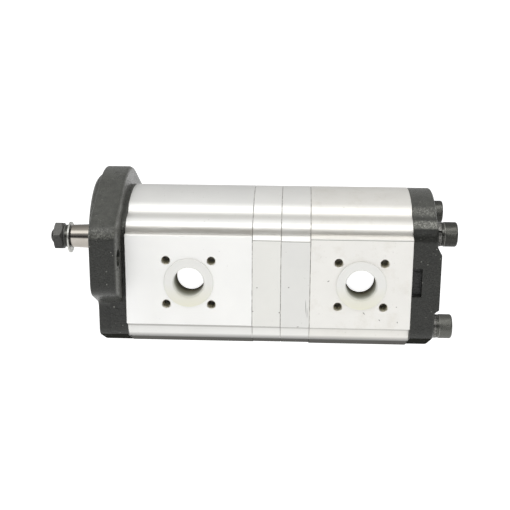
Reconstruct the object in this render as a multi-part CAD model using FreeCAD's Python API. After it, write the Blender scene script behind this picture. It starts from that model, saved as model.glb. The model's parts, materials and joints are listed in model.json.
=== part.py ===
import FreeCAD, Part
import os
import math

os.makedirs("parts", exist_ok=True)

V = FreeCAD.Vector

# ---------------------------------------------------------------------------
# Tandem external gear pump. Millimetres.
# Origin: centre of the pilot on the flange's mounting face.
# +X runs to the rear along the drive shaft, the shaft end points to -X,
# +Z is up, the inlet ports face -Y.
# ---------------------------------------------------------------------------

# stack along X
x_mount = 0.0            # mounting face of the flange
x_ear_back = 16.2        # back of the two bolt ears
x_cover_back = 18.7      # joint: front cover / front housing
x_j1 = 97.9              # joint: front housing / front middle plate
x_j2 = 115.7             # joint: middle plate / middle plate
x_j3 = 133.9             # joint: rear middle plate / rear housing
x_j4 = 196.8             # joint: rear housing / rear cover
x_seat = 211.8           # seat of the tie screws on the rear cover
x_boss = 214.2           # raised rib across the rear cover

# flange
pilot_r = 41.275
pilot_h = 4.9
pilot_chamfer = 1.4      # along the axis
flange_crest_r = 46.8    # arc about the shaft axis
ear_flank_deg = 28.5     # flanks of the ears
cover_flank_deg = 30.0   # shoulders of the joint land and the rear cover
low_flank_deg = 27.0     # flanks of the rounded underside
ear_half = 62.4
ear_hole_y = 53.2
ear_hole_r = 5.5
lower_flank_dist = 48.1  # distance of the lower flank from the shaft axis
flange_side_half = 39.6  # half width of the flange below the ears
land_half = 41.3         # half width of the land behind the flange
side_half = 45.25        # half width over the machined pads

# gear train
centre_dist = 35.0
teeth = 12
pressure_deg = 25.0
tip_r = 20.4
root_r = 13.85
chamber_r = 20.5
journal_r = 9.0
bush_bore_r = 9.05
bush_r = 10.5
block_len = 24.0
gear_gap = 0.05          # axial clearance each side of a gear

# body section
crest_z = 34.9
bottom_cover = -68.6      # undersides of the stacked parts, front to rear
bottom_front = -68.2
bottom_plates = -67.9
bottom_rear = -68.5
bottom_end = -68.3
joint_chamfer = 0.3      # broken edge round every joint face
lobe_y = 31.3
lobe_z = 12.4
lobe_r = 10.0
screw_y = 32.2
screw_z_top = 12.9
screw_z_bot = -47.3
mid_z = -17.5

# ports
port_x = (58.3, 165.5)
inlet_r = 10.35
outlet_r = 7.85
inlet_pitch = 28.28
outlet_pitch = 24.75
port_screw_r = 2.65
port_screw_depth = 13.0

# shaft end
taper_big_r = 8.3
taper_small_r = 7.57
x_taper_big = -5.8
x_taper_small = -24.1
thread_r = 5.0
x_tip = -37.8


# ---------------------------------------------------------------------------
# helpers
# ---------------------------------------------------------------------------
def cyl(r, x0, x1, y=0.0, z=0.0):
    return Part.makeCylinder(r, x1 - x0, V(x0, y, z), V(1, 0, 0))


def cyl_y(r, y0, y1, x, z):
    return Part.makeCylinder(r, y1 - y0, V(x, y0, z), V(0, 1, 0))


def box(x0, x1, y0, y1, z0, z1):
    return Part.makeBox(x1 - x0, y1 - y0, z1 - z0, V(x0, y0, z0))


def cone(r0, r1, x0, x1, y=0.0, z=0.0):
    return Part.makeCone(r0, r1, x1 - x0, V(x0, y, z), V(1, 0, 0))


def fuse(shapes):
    out = shapes[0]
    if len(shapes) > 1:
        out = out.fuse(shapes[1:])
    return out.removeSplitter()


def cut(a, tools):
    return a.cut(tools) if tools else a


def revolve_x(pts, y=0.0, z=0.0):
    """Closed profile of (x, r) points turned about the X direction."""
    vs = [V(px, y, z + pr) for px, pr in pts]
    w = Part.makePolygon(vs + [vs[0]])
    return Part.Face(w).revolve(V(0, y, z), V(1, 0, 0), 360)


def revolve_y(pts, x, z):
    """Closed profile of (y, r) points turned about the Y direction."""
    vs = [V(x, py, z + pr) for py, pr in pts]
    w = Part.makePolygon(vs + [vs[0]])
    return Part.Face(w).revolve(V(x, 0, z), V(0, 1, 0), 360)


def arc3(a, b, c):
    return Part.Arc(V(0, a[0], a[1]), V(0, b[0], b[1]), V(0, c[0], c[1])).toShape()


def seg(a, b):
    return Part.LineSegment(V(0, a[0], a[1]), V(0, b[0], b[1])).toShape()


def face_extrude(edges, x0, x1):
    w = Part.Wire(Part.__sortEdges__(edges))
    f = Part.Face(w)
    f.translate(V(x0, 0, 0))
    return f.extrude(V(x1 - x0, 0, 0))


def rounded_polygon(pts):
    """pts: (y, z, radius). Returns edges in the plane X = 0."""
    n = len(pts)
    ends = []
    arcs = []
    for i in range(n):
        py, pz, r = pts[i]
        ay, az, _ = pts[i - 1]
        by, bz, _ = pts[(i + 1) % n]
        ua = (ay - py, az - pz)
        ub = (by - py, bz - pz)
        la = math.hypot(*ua)
        lb = math.hypot(*ub)
        ua = (ua[0] / la, ua[1] / la)
        ub = (ub[0] / lb, ub[1] / lb)
        if r <= 0:
            ends.append(((py, pz), (py, pz)))
            arcs.append(None)
            continue
        cosang = ua[0] * ub[0] + ua[1] * ub[1]
        half = math.acos(max(-1, min(1, cosang))) / 2.0
        t = r / math.tan(half)
        a = (py + ua[0] * t, pz + ua[1] * t)
        b = (py + ub[0] * t, pz + ub[1] * t)
        bis = (ua[0] + ub[0], ua[1] + ub[1])
        lbis = math.hypot(*bis)
        d = r / math.sin(half)
        c = (py + bis[0] / lbis * d, pz + bis[1] / lbis * d)
        m = (c[0] - bis[0] / lbis * r, c[1] - bis[1] / lbis * r)
        ends.append((a, b))
        arcs.append(m)
    edges = []
    for i in range(n):
        a, b = ends[i]
        if arcs[i] is not None:
            edges.append(arc3(a, arcs[i], b))
        nxt = ends[(i + 1) % n][0]
        if math.hypot(nxt[0] - b[0], nxt[1] - b[1]) > 1e-6:
            edges.append(seg(b, nxt))
    return edges


# ---------------------------------------------------------------------------
# section of the gear housings: a flat-topped arc over each gear, a shoulder,
# a shallow valley and a lobe round each tie screw
# ---------------------------------------------------------------------------
def quadrant(crest):
    """Tangent arcs from the crest to the side, for +Y and the upper half.
    Returns a list of (kind, points)."""
    tA, tB, tC = math.radians(26), math.radians(50), math.radians(18)
    rB, rC, L = 8.0, 4.0, 3.0
    dy = lobe_y + lobe_r * math.sin(tC)
    dz = lobe_z + lobe_r * math.cos(tC)
    # crest - RA(1-cosA) - rB(cosA-cosB) - s sinB - rC(cosC-cosB) - L sinC = dz
    a1, b1 = math.sin(tA), math.cos(tB)
    c1 = dy - rB * (math.sin(tB) - math.sin(tA)) - rC * (math.sin(tB) - math.sin(tC)) - L * math.cos(tC)
    a2, b2 = 1 - math.cos(tA), math.sin(tB)
    c2 = crest - dz - rB * (math.cos(tA) - math.cos(tB)) - rC * (math.cos(tC) - math.cos(tB)) - L * math.sin(tC)
    det = a1 * b2 - a2 * b1
    RA = (c1 * b2 - c2 * b1) / det
    s = (a1 * c2 - a2 * c1) / det
    out = []

    def arc(cy, cz, r, t0, t1, sign=1):
        def p(t):
            return (cy + sign * r * math.sin(t), cz + sign * r * math.cos(t))
        out.append(("arc", p(t0), p((t0 + t1) / 2), p(t1)))
        return p(t1)

    p = arc(0, crest - RA, RA, 0, tA)
    p = arc(p[0] - rB * math.sin(tA), p[1] - rB * math.cos(tA), rB, tA, tB)
    q = (p[0] + s * math.cos(tB), p[1] - s * math.sin(tB))
    out.append(("seg", p, q))
    p = arc(q[0] + rC * math.sin(tB), q[1] + rC * math.cos(tB), rC, tB, tC, -1)
    q = (p[0] + L * math.cos(tC), p[1] - L * math.sin(tC))
    out.append(("seg", p, q))
    arc(lobe_y, lobe_z, lobe_r, tC, math.pi / 2)
    return out, RA, s


quad_top, crest_radius, shoulder_len = quadrant(crest_z)
print("section: crest radius %.2f, shoulder flat %.2f" % (crest_radius, shoulder_len))


def body_section_edges(bottom):
    """The lobes mirror about mid_z, the underside is a little flatter than the top."""
    quad_low = quadrant(2 * mid_z - bottom)[0]
    edges = []
    for sy in (1, -1):
        for up in (True, False):
            def m(p):
                return (sy * p[0], p[1] if up else 2 * mid_z - p[1])
            for item in (quad_top if up else quad_low):
                if item[0] == "arc":
                    edges.append(arc3(m(item[1]), m(item[2]), m(item[3])))
                else:
                    edges.append(seg(m(item[1]), m(item[2])))
        ye = sy * (lobe_y + lobe_r)
        edges.append(seg((ye, lobe_z), (ye, 2 * mid_z - lobe_z)))
    return edges


def body_block(x0, x1, bottom, pad_top, pad_bot, bevel):
    """Extruded section with the two machined side pads, bevelled along the top."""
    core = face_extrude(body_section_edges(bottom), x0, x1)
    pads = []
    for sy in (1, -1):
        pts = [(0, pad_bot), (side_half, pad_bot), (side_half, pad_top - bevel), (side_half - bevel, pad_top), (0, pad_top)]
        edges = [seg((sy * pts[i][0], pts[i][1]), (sy * pts[(i + 1) % len(pts)][0], pts[(i + 1) % len(pts)][1]))
                 for i in range(len(pts))]
        pads.append(face_extrude(edges, x0, x1))
    b = fuse([core] + pads)
    rim = [e for e in b.Edges if abs(e.BoundBox.XMin - e.BoundBox.XMax) < 1e-6]
    return b.makeChamfer(joint_chamfer, rim)


screws_yz = [(screw_y, screw_z_top), (-screw_y, screw_z_top), (screw_y, screw_z_bot), (-screw_y, screw_z_bot)]
dowels_yz = [(36.0, mid_z), (-36.0, mid_z)]


def screw_holes(x0, x1, r=5.5):
    return [cyl(r, x0, x1, y, z) for y, z in screws_yz]


def dowel_holes(x0, x1):
    return [cyl(3.0, x0, x1, y, z) for y, z in dowels_yz]


def stadium(r, x0, x1):
    return fuse([cyl(r, x0, x1, 0, 0), cyl(r, x0, x1, 0, -centre_dist),
                 box(x0, x1, -r, r, -centre_dist, 0)])


def stadium_ring(r_out, r_in, x0, x1):
    return stadium(r_out, x0, x1).cut(stadium(r_in, x0, x1))


def twin(r, x0, x1):
    return fuse([cyl(r, x0, x1, 0, 0), cyl(r, x0, x1, 0, -centre_dist)])


# ---------------------------------------------------------------------------
# 1 front cover: flange, pilot, ears
# ---------------------------------------------------------------------------
def flange_outline():
    fl = math.radians(ear_flank_deg)
    s, c = math.sin(fl), math.cos(fl)
    yt, zt = flange_crest_r * s, flange_crest_r * c            # tangent point of the crest arc
    z_ear = (flange_crest_r - ear_half * s) / c                # flank meets the ear's end
    z_low = (ear_half * s - lower_flank_dist) / c              # lower flank meets the ear's end
    z_neck = (flange_side_half * s - lower_flank_dist) / c     # lower flank meets the side
    # bottom: wide arc with its lowest point at bottom_cover and straight flanks
    lf = math.radians(low_flank_deg)
    rb = 50.0
    yb, zbt = rb * math.sin(lf), bottom_cover + rb - rb * math.cos(lf)
    z_side = zbt + (flange_side_half - yb) * math.tan(lf)
    pts = [(yt, zt, 0), (ear_half, z_ear, 12.0), (ear_half, z_low, 10.0), (flange_side_half, z_neck, 6.0),
           (flange_side_half, z_side, 6.0), (yb, zbt, 0)]
    pts += [(-y, z, r) for y, z, r in reversed(pts)]
    edges = rounded_polygon(pts)
    # replace the two straight chords by the crest and bottom arcs
    keep = []
    for e in edges:
        a, b = e.Vertexes[0].Point, e.Vertexes[-1].Point
        if abs(a.y + b.y) < 1e-6 and abs(a.z - b.z) < 1e-6 and e.Length > 10:
            continue
        keep.append(e)
    keep.append(arc3((yt, zt), (0, flange_crest_r), (-yt, zt)))
    keep.append(arc3((yb, zbt), (0, bottom_cover), (-yb, zbt)))
    return keep


def cover_outline(side, top, bottom, r_arc, corner, low_corner):
    """Rounded outline of the joint land and of the rear cover."""
    fl = math.radians(cover_flank_deg)
    s, c = math.sin(fl), math.cos(fl)
    yt, zt = r_arc * s, top - r_arc + r_arc * c
    z_s = zt - (side - yt) * math.tan(fl)
    lf = math.radians(low_flank_deg)
    yb, zb = r_arc * math.sin(lf), bottom + r_arc - r_arc * math.cos(lf)
    z_b = zb + (side - yb) * math.tan(lf)
    pts = [(yt, zt, 0), (side, z_s, corner), (side, z_b, low_corner), (yb, zb, 0)]
    pts += [(-y, z, r) for y, z, r in reversed(pts)]
    edges = rounded_polygon(pts)
    keep = []
    for e in edges:
        a, b = e.Vertexes[0].Point, e.Vertexes[-1].Point
        if abs(a.y + b.y) < 1e-6 and abs(a.z - b.z) < 1e-6 and e.Length > 10:
            continue
        keep.append(e)
    keep.append(arc3((yt, zt), (0, top), (-yt, zt)))
    keep.append(arc3((yb, zb), (0, bottom), (-yb, zb)))
    return keep


def outline_edges_at(shape, x, tol=1e-4, min_out=30.0):
    """Edges of the outer contour lying in the plane X = x."""
    out = []
    for e in shape.Edges:
        bb = e.BoundBox
        if abs(bb.XMin - x) < tol and abs(bb.XMax - x) < tol:
            m = e.valueAt((e.FirstParameter + e.LastParameter) / 2)
            if math.hypot(m.y, m.z - mid_z) > min_out:
                out.append(e)
    return out


flange = face_extrude(flange_outline(), x_mount, x_ear_back)
flange = flange.makeFillet(0.8, outline_edges_at(flange, x_mount))
flange = flange.makeFillet(2.6, outline_edges_at(flange, x_ear_back))
land = face_extrude(cover_outline(land_half, crest_z, bottom_cover, 50.0, 9.0, 6.5), 8.0, x_cover_back)
land = land.makeChamfer(joint_chamfer, outline_edges_at(land, x_cover_back))
pilot = cyl(pilot_r, -pilot_h + pilot_chamfer, 0.5).fuse(cone(pilot_r - 1.6, pilot_r, -pilot_h, -pilot_h + pilot_chamfer))
front_cover = fuse([flange, land, pilot])
front_cover = cut(front_cover, [
    cyl(ear_hole_r, -10, 30, ear_hole_y, 0), cyl(ear_hole_r, -10, 30, -ear_hole_y, 0),
    cyl(16.0, -10, 6.0),                       # seal pocket
    cone(17.2, 16.0, -pilot_h, -pilot_h + 1.2),
    cyl(17.0, -3.1, -1.6),                     # circlip groove
    cyl(9.6, 5.0, 30),                         # shaft passage
    cyl(2.0, 5.0, 30, 0, -12.4),               # leakage return bore
    stadium(10.2, x_cover_back - 1.5, x_cover_back + 1),   # relief behind the shaft ends
] + [cyl(5.0, x_cover_back - 15.0, x_cover_back + 1, y, z) for y, z in screws_yz]
  + [cone(5.0, 5.8, x_cover_back - 0.8, x_cover_back, y, z) for y, z in screws_yz]
  + dowel_holes(x_cover_back - 5.2, x_cover_back + 1))


# ---------------------------------------------------------------------------
# 2 and 5 gear housings
# ---------------------------------------------------------------------------
def gear_housing(x0, x1, px, bottom, pad_top, pad_bot, bevel, throat_in, throat_out):
    b = body_block(x0, x1, bottom, pad_top, pad_bot, bevel)
    tools = [twin(chamber_r, x0 - 1, x1 + 1)]
    tools += screw_holes(x0 - 1, x1 + 1)
    tools += dowel_holes(x0 - 1, x0 + 5.2) + dowel_holes(x1 - 5.2, x1 + 1)
    # section seal grooves in both end faces
    tools += [stadium_ring(24.2, 21.9, x0 - 1, x0 + 1.9), stadium_ring(24.2, 21.9, x1 - 1.9, x1 + 1)]
    # inlet on -Y, outlet on +Y
    tools += [cyl_y(inlet_r, -side_half - 1, -24.5, px, mid_z),
              cyl_y(throat_in, -26, -8, px, mid_z),
              cyl_y(outlet_r, 24.5, side_half + 1, px, mid_z),
              cyl_y(throat_out, 8, 26, px, mid_z)]
    for sx in (-1, 1):
        for sz in (-1, 1):
            xi, zi = px + sx * inlet_pitch / 2, mid_z + sz * inlet_pitch / 2
            xo, zo = px + sx * outlet_pitch / 2, mid_z + sz * outlet_pitch / 2
            tools.append(revolve_y([(-side_half - 1, 0), (-side_half - 1, port_screw_r + 0.35),
                                    (-side_half, port_screw_r + 0.35), (-side_half + 0.35, port_screw_r),
                                    (-side_half + port_screw_depth, port_screw_r),
                                    (-side_half + port_screw_depth + 1.5, 0)], xi, zi))
            tools.append(revolve_y([(side_half + 1, 0), (side_half + 1, port_screw_r + 0.35),
                                    (side_half, port_screw_r + 0.35), (side_half - 0.35, port_screw_r),
                                    (side_half - port_screw_depth, port_screw_r),
                                    (side_half - port_screw_depth - 1.5, 0)], xo, zo))
    return b.cut(tools)


front_housing = gear_housing(x_cover_back, x_j1, port_x[0], bottom_front, 13.0, -45.1, 0.9, 8.0, 6.0)
rear_housing = gear_housing(x_j3, x_j4, port_x[1], bottom_rear, 13.65, -45.7, 1.5, 6.0, 5.0)

# ---------------------------------------------------------------------------
# 3 and 4 middle plates
# ---------------------------------------------------------------------------
middle_plate_front = cut(body_block(x_j1, x_j2, bottom_plates, 13.0, -45.4, 2.6), [
    cyl(12.5, x_j1 - 1, x_j2 + 1),
    cyl(16.0, x_j2 - 8.0, x_j2 + 1),
] + screw_holes(x_j1 - 1, x_j2 + 1)
  + dowel_holes(x_j1 - 1, x_j1 + 5.2) + dowel_holes(x_j2 - 5.2, x_j2 + 1))
middle_plate_rear = cut(body_block(x_j2, x_j3, bottom_plates, 12.8, -45.6, 2.8), [
    cyl(12.5, x_j2 - 1, x_j3 + 1),
    cyl(22.6, x_j2 - 1, x_j2 + 1.9).cut(cyl(20.2, x_j2 - 2, x_j2 + 3)),
] + screw_holes(x_j2 - 1, x_j3 + 1)
  + dowel_holes(x_j2 - 1, x_j2 + 5.2) + dowel_holes(x_j3 - 5.2, x_j3 + 1))

# ---------------------------------------------------------------------------
# 6 rear cover: rounded rear edge, raised rib between the screws, side pockets
# ---------------------------------------------------------------------------
rear_cover = face_extrude(cover_outline(side_half, crest_z - 0.1, bottom_end, 50.0, 9.0, 8.5), x_j4, x_seat)
rear_cover = rear_cover.makeFillet(1.9, outline_edges_at(rear_cover, x_seat))
rear_cover = rear_cover.makeChamfer(joint_chamfer, outline_edges_at(rear_cover, x_j4))
rib_profile = [V(x_seat - 4.0, 0, -34.7), V(x_seat, 0, -34.7), V(x_seat + 0.7, 0, -33.8), V(x_boss, 0, -32.9),
               V(x_boss, 0, 2.6), V(x_seat + 0.9, 0, 5.2), V(x_seat, 0, 7.0), V(x_seat - 4.0, 0, 7.0)]
rib = Part.Face(Part.makePolygon(rib_profile + [rib_profile[0]]))
rib.translate(V(0, -side_half, 0))
rib = rib.extrude(V(0, 2 * side_half, 0))
rib_edges = [e for e in rib.Edges
             if abs(e.Length - 2 * side_half) < 1e-6 and e.BoundBox.XMin > x_seat + 0.5]
rib = rib.makeFillet(1.2, rib_edges)
rear_cover = fuse([rear_cover, rib])
rear_cover = cut(rear_cover, [
    box(x_j4 - 1, x_j4 + 6.0, -side_half - 1, -side_half + 3.6, -24.5, -6.0),
    box(x_j4 - 1, x_j4 + 6.0, side_half - 3.6, side_half + 1, -24.5, -6.0),
    stadium(10.2, x_j4 - 1, x_j4 + 1.5),
] + screw_holes(x_j4 - 1, x_boss + 5)
  + [cyl(8.6, x_seat, x_boss + 5, y, z) for y, z in screws_yz]
  + dowel_holes(x_j4 - 1, x_j4 + 5.2))

# ---------------------------------------------------------------------------
# 7, 8 tie screws and washers; 9 dowels
# ---------------------------------------------------------------------------
washer_t = 2.4
head_r = 7.7
x_head = x_seat + washer_t
head_h = 10.0


def hexagon(af, x0, x1, y, z, corner_deg):
    r = af / 2.0 / math.cos(math.radians(30))
    pts = [V(x0, y + r * math.cos(math.radians(corner_deg + 60 * k)),
             z + r * math.sin(math.radians(corner_deg + 60 * k))) for k in range(6)]
    return Part.Face(Part.makePolygon(pts + [pts[0]])).extrude(V(x1 - x0, 0, 0))


def tie_screw(y, z):
    xt = x_cover_back - 13.3
    body = revolve_x([(xt, 0), (xt, 4.2), (xt + 0.8, 4.95), (xt + 35.8, 4.95), (xt + 36.2, 5.0), (x_head, 5.0),
                      (x_head, head_r), (x_head + head_h - 0.8, head_r), (x_head + head_h, head_r - 0.8), (x_head + head_h, 0)], y, z)
    return body.cut(hexagon(8.0, x_head + 5.0, x_head + head_h + 1, y, z, 30))


tie_screws = [tie_screw(y, z) for y, z in screws_yz]


def split_washer(r_out, r_in, x0, x1, y, z, slot_deg, slot=1.2):
    w = cyl(r_out, x0, x1, y, z).cut(cyl(r_in, x0 - 1, x1 + 1, y, z))
    s = box(x0 - 1, x1 + 1, 0, r_out + 2, -slot / 2, slot / 2)
    s.rotate(V(0, 0, 0), V(1, 0, 0), slot_deg)
    s.translate(V(0, y, z))
    return w.cut(s)


tie_screw_washers = [split_washer(7.6, 5.2, x_seat, x_head, y, z, d)
                     for (y, z), d in zip(screws_yz, (40, 155, 265, 100))]

dowels = []
for xj in (x_cover_back, x_j1, x_j2, x_j3, x_j4):
    for y, z in dowels_yz:
        dowels.append(revolve_x([(xj - 5, 0), (xj - 5, 2.5), (xj - 4.5, 3.0), (xj + 4.5, 3.0), (xj + 5, 2.5), (xj + 5, 0)], y, z))

# ---------------------------------------------------------------------------
# 10, 11 section seals
# ---------------------------------------------------------------------------
housing_seals = [stadium_ring(24.1, 22.0, x_cover_back, x_cover_back + 1.85),
                 stadium_ring(24.1, 22.0, x_j1 - 1.85, x_j1),
                 stadium_ring(24.1, 22.0, x_j3, x_j3 + 1.85),
                 stadium_ring(24.1, 22.0, x_j4 - 1.85, x_j4)]
plate_seal = cyl(22.5, x_j2, x_j2 + 1.85).cut(cyl(20.3, x_j2 - 1, x_j2 + 3))


# ---------------------------------------------------------------------------
# 12 .. 16 bearing blocks, bushes, pressure seals
# ---------------------------------------------------------------------------
def e_strip(x0, x1, grow=0.0):
    """Seal path shaped like a 3, open towards the inlet on -Y."""
    parts = []
    for zc in (0.0, -centre_dist):
        ring = cyl(18.5 + grow, x0, x1, 0, zc).cut(cyl(16.2 - grow, x0 - 1, x1 + 1, 0, zc))
        parts.append(ring)
    u = fuse(parts)
    keep = box(x0 - 1, x1 + 1, -6.0 + grow * -1, 40, -80, 40)
    return u.common(keep)


def bearing_block(x0, x1, gear_side):
    """gear_side +1 when the gear lies at x1, -1 when it lies at x0."""
    b = twin(20.45, x0, x1)
    tools = [cyl(bush_r, x0 - 1, x1 + 1, 0, zc) for zc in (0.0, -centre_dist)]
    # flats that feed oil along the inlet side
    tools.append(box(x0 - 1, x1 + 1, -25, -19.6, -centre_dist - 25, 25))
    xg, xo = (x1, x0) if gear_side > 0 else (x0, x1)
    # relief pockets at the mesh on the gear side, a bridge left between them
    g0, g1 = sorted((xg - gear_side * 3.0, xg + gear_side * 1.0))
    tools.append(box(g0, g1, -9.0, -2.2, mid_z - 4.5, mid_z + 4.5))
    tools.append(box(g0, g1, 2.2, 9.0, mid_z - 4.5, mid_z + 4.5))
    # seal groove on the outer face
    o0, o1 = sorted((xo - gear_side * 1.0, xo + gear_side * 1.9))
    tools.append(e_strip(o0, o1, 0.1))
    b = b.cut(tools)
    return b


def pump_inner(x0, x1):
    """Blocks, bushes and seals of one pump between its two joint faces."""
    fb = bearing_block(x0, x0 + block_len, 1)
    rb = bearing_block(x1 - block_len, x1, -1)
    bushes = []
    for xa, xb in ((x0 + 2.0, x0 + block_len), (x1 - block_len, x1 - 2.0)):
        for zc in (0.0, -centre_dist):
            bushes.append(cyl(bush_r, xa, xb, 0, zc).cut(cyl(bush_bore_r, xa - 1, xb + 1, 0, zc)))
    seals = [e_strip(x0 + 0.9, x0 + 1.9), e_strip(x1 - 1.9, x1 - 0.9)]
    backs = [e_strip(x0, x0 + 0.9), e_strip(x1 - 0.9, x1)]
    return fb, rb, bushes, seals, backs


fb_a, rb_a, bushes_a, seals_a, backs_a = pump_inner(x_cover_back, x_j1)
fb_b, rb_b, bushes_b, seals_b, backs_b = pump_inner(x_j3, x_j4)

# ---------------------------------------------------------------------------
# 17 .. 20 shaft seals
# ---------------------------------------------------------------------------
shaft_seal = revolve_x([(-1.0, 12.4), (-1.0, 16.0), (6.0, 16.0), (6.0, 14.4), (0.6, 14.4), (0.6, 12.6),
                        (2.6, 11.2), (4.6, 11.4), (4.6, 10.5), (3.6, 9.06), (2.4, 9.5), (0.0, 10.4), (-0.3, 9.3), (-1.0, 9.6)])
shaft_seal_spring = Part.makeTorus(12.45, 0.7, V(3.9, 0, 0), V(1, 0, 0))
shaft_seal = shaft_seal.cut(Part.makeTorus(12.45, 0.75, V(3.9, 0, 0), V(1, 0, 0)))
circ = cyl(16.9, -3.0, -1.7).cut(cyl(14.2, -4, 0))
circ = circ.cut(box(-4, 0, -3.2, 3.2, 10, 20))
for sy in (-1, 1):
    lug = cyl(2.2, -3.0, -1.7, sy * 5.4, 13.4).cut(cyl(0.9, -4, 0, sy * 5.4, 13.4))
    circ = circ.fuse(lug)
circ = circ.cut([cyl(0.9, -4, 0, sy * 5.4, 13.4) for sy in (-1, 1)]).removeSplitter()
coupling_seal = revolve_x([(x_j2 - 8.0, 12.9), (x_j2 - 8.0, 16.0), (x_j2 - 1.0, 16.0), (x_j2 - 1.0, 15.0),
                           (x_j2 - 6.6, 15.0), (x_j2 - 6.6, 13.4), (x_j2 - 3.0, 12.4), (x_j2 - 3.0, 11.6),
                           (x_j2 - 3.8, 11.05), (x_j2 - 5.2, 11.6), (x_j2 - 7.0, 12.0), (x_j2 - 8.0, 12.2)])


# ---------------------------------------------------------------------------
# gears
# ---------------------------------------------------------------------------
def gear_edges(phase_deg, zc):
    """Involute outline about (y, z) = (0, zc). phase_deg: direction of one tooth centre."""
    rp = centre_dist / 2.0
    m = centre_dist / teeth
    alpha = math.radians(pressure_deg)
    rb = rp * math.cos(alpha)
    s = math.pi * m / 2.0 - 0.10
    inv_a = math.tan(alpha) - alpha

    def half_angle(r):
        a = math.acos(rb / r)
        return s / (2 * rp) + inv_a - (math.tan(a) - a)

    edges = []
    step = 2 * math.pi / teeth
    h_base = half_angle(rb * 1.0000001)
    for k in range(teeth):
        c = math.radians(phase_deg) + k * step

        def pt(r, ang):
            return V(0, r * math.cos(ang), zc + r * math.sin(ang))
        rs = [rb * 1.0000001 + (tip_r - rb * 1.0000001) * (i / 6.0) ** 1.3 for i in range(7)]
        left = [pt(r, c - half_angle(r)) for r in rs]
        right = [pt(r, c + half_angle(r)) for r in rs]
        # flank below the base circle: radial, with the root arc
        root_l = pt(root_r, c - h_base)
        root_r_ = pt(root_r, c + h_base)
        nxt_l = pt(root_r, c + step - h_base)
        mid = pt(root_r, c + step / 2)
        edges.append(Part.LineSegment(root_l, left[0]).toShape())
        bs = Part.BSplineCurve(); bs.interpolate(left); edges.append(bs.toShape())
        edges.append(Part.Arc(left[-1], pt(tip_r, c), right[-1]).toShape())
        bs = Part.BSplineCurve(); bs.interpolate(list(reversed(right))); edges.append(bs.toShape())
        edges.append(Part.LineSegment(right[0], root_r_).toShape())
        edges.append(Part.Arc(root_r_, mid, nxt_l).toShape())
    return edges


def gear(x0, x1, phase_deg, zc):
    return face_extrude(gear_edges(phase_deg, zc), x0, x1)


def spline_bar(x0, x1, r_root, r_top, w):
    parts = [cyl(r_root, x0, x1)]
    for k in range(3):
        b = box(x0, x1, -r_top - 1, r_top + 1, -w / 2.0, w / 2.0)
        b.rotate(V(0, 0, 0), V(1, 0, 0), 60 * k)
        parts.append(b.common(cyl(r_top, x0, x1)))
    return fuse(parts)


ga0, ga1 = x_cover_back + block_len + gear_gap, x_j1 - block_len - gear_gap
gb0, gb1 = x_j3 + block_len + gear_gap, x_j4 - block_len - gear_gap

# drive shaft with the front drive gear
shaft_front = revolve_x([(x_tip, 0), (x_tip, 3.2), (x_tip + 0.9, 4.3), (x_tip + 1.7, thread_r), (x_taper_small, thread_r),
                         (x_taper_small, taper_small_r - 0.3), (x_taper_small + 0.3, taper_small_r),
                         (x_taper_big, taper_big_r), (x_taper_big + 1.8, 8.5), (x_taper_big + 2.6, journal_r), (ga0, journal_r),
                         (ga0, 12.0), (ga1, 12.0), (ga1, journal_r), (x_j1 - 1.2, journal_r), (x_j1 - 0.7, 8.5), (x_j1 - 0.7, 0)])
drive = fuse([shaft_front, gear(ga0, ga1, -90.0, 0.0), spline_bar(x_j1 - 1.0, x_j2 - 2.0, 5.5, 7.0, 3.0)])

# seat of the woodruff key in the taper, on the +Y side
key_x = -15.3
key_w = 3.0
key_disc = Part.makeCylinder(6.5, key_w, V(key_x, 7.4, -key_w / 2), V(0, 0, 1))
drive = drive.cut(key_disc)
woodruff_key = key_disc.common(box(key_x - 10, key_x + 10, 0.0, 9.6, -5, 5))

# nut and washers on the thread
washer_drop = 0.9        # the plain washer hangs on the thread
shaft_washer = cyl(10.3, -25.7, -24.7, 0, -washer_drop).cut(cyl(6.0, -32, -20, 0, -washer_drop))
spring_w = split_washer(7.4, 5.15, -28.1, -25.7, 0, 0.0, 250.0, 1.4)
# the nut has a long chamfer and a turned collar towards the washers
nut_raw = hexagon(17.0, -35.1, -28.1, 0, 0, 45.0)
nut_cone = revolve_x([(-35.3, 0), (-35.3, 8.2), (-34.4, 10.2), (-31.3, 10.2), (-29.2, 8.1), (-29.0, 7.2), (-28.0, 7.2), (-28.0, 0)])
shaft_nut = nut_raw.common(nut_cone).cut(cyl(5.05, -45, -20))

# coupling sleeve and the rear drive gear
sleeve = cyl(11.0, x_j2 - 15.5, x_j2 + 15.9).cut(spline_bar(x_j2 - 16.5, x_j2 + 16.9, 5.6, 7.08, 3.12))
rear_shaft = revolve_x([(x_j3 + 0.8, 0), (x_j3 + 0.8, 8.5), (x_j3 + 1.3, journal_r), (gb0, journal_r), (gb0, 12.0), (gb1, 12.0),
                        (gb1, journal_r), (x_j4 - 1.0, journal_r), (x_j4 - 0.5, 8.5), (x_j4 - 0.5, 0)])
rear_drive = fuse([rear_shaft, gear(gb0, gb1, -90.0, 0.0), spline_bar(x_j2 + 2.0, x_j3 + 1.0, 5.5, 7.0, 3.0)])


def driven(x0, x1, g0, g1):
    sh = revolve_x([(x0 + 0.5, 0), (x0 + 0.5, 8.4), (x0 + 1.1, journal_r), (g0, journal_r), (g0, 12.0), (g1, 12.0), (g1, journal_r),
                    (x1 - 1.1, journal_r), (x1 - 0.5, 8.4), (x1 - 0.5, 0)], 0, -centre_dist)
    return fuse([sh, gear(g0, g1, 90.0 + 180.0 / teeth, -centre_dist)])


driven_front = driven(x_cover_back, x_j1, ga0, ga1)
driven_rear = driven(x_j3, x_j4, gb0, gb1)


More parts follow.
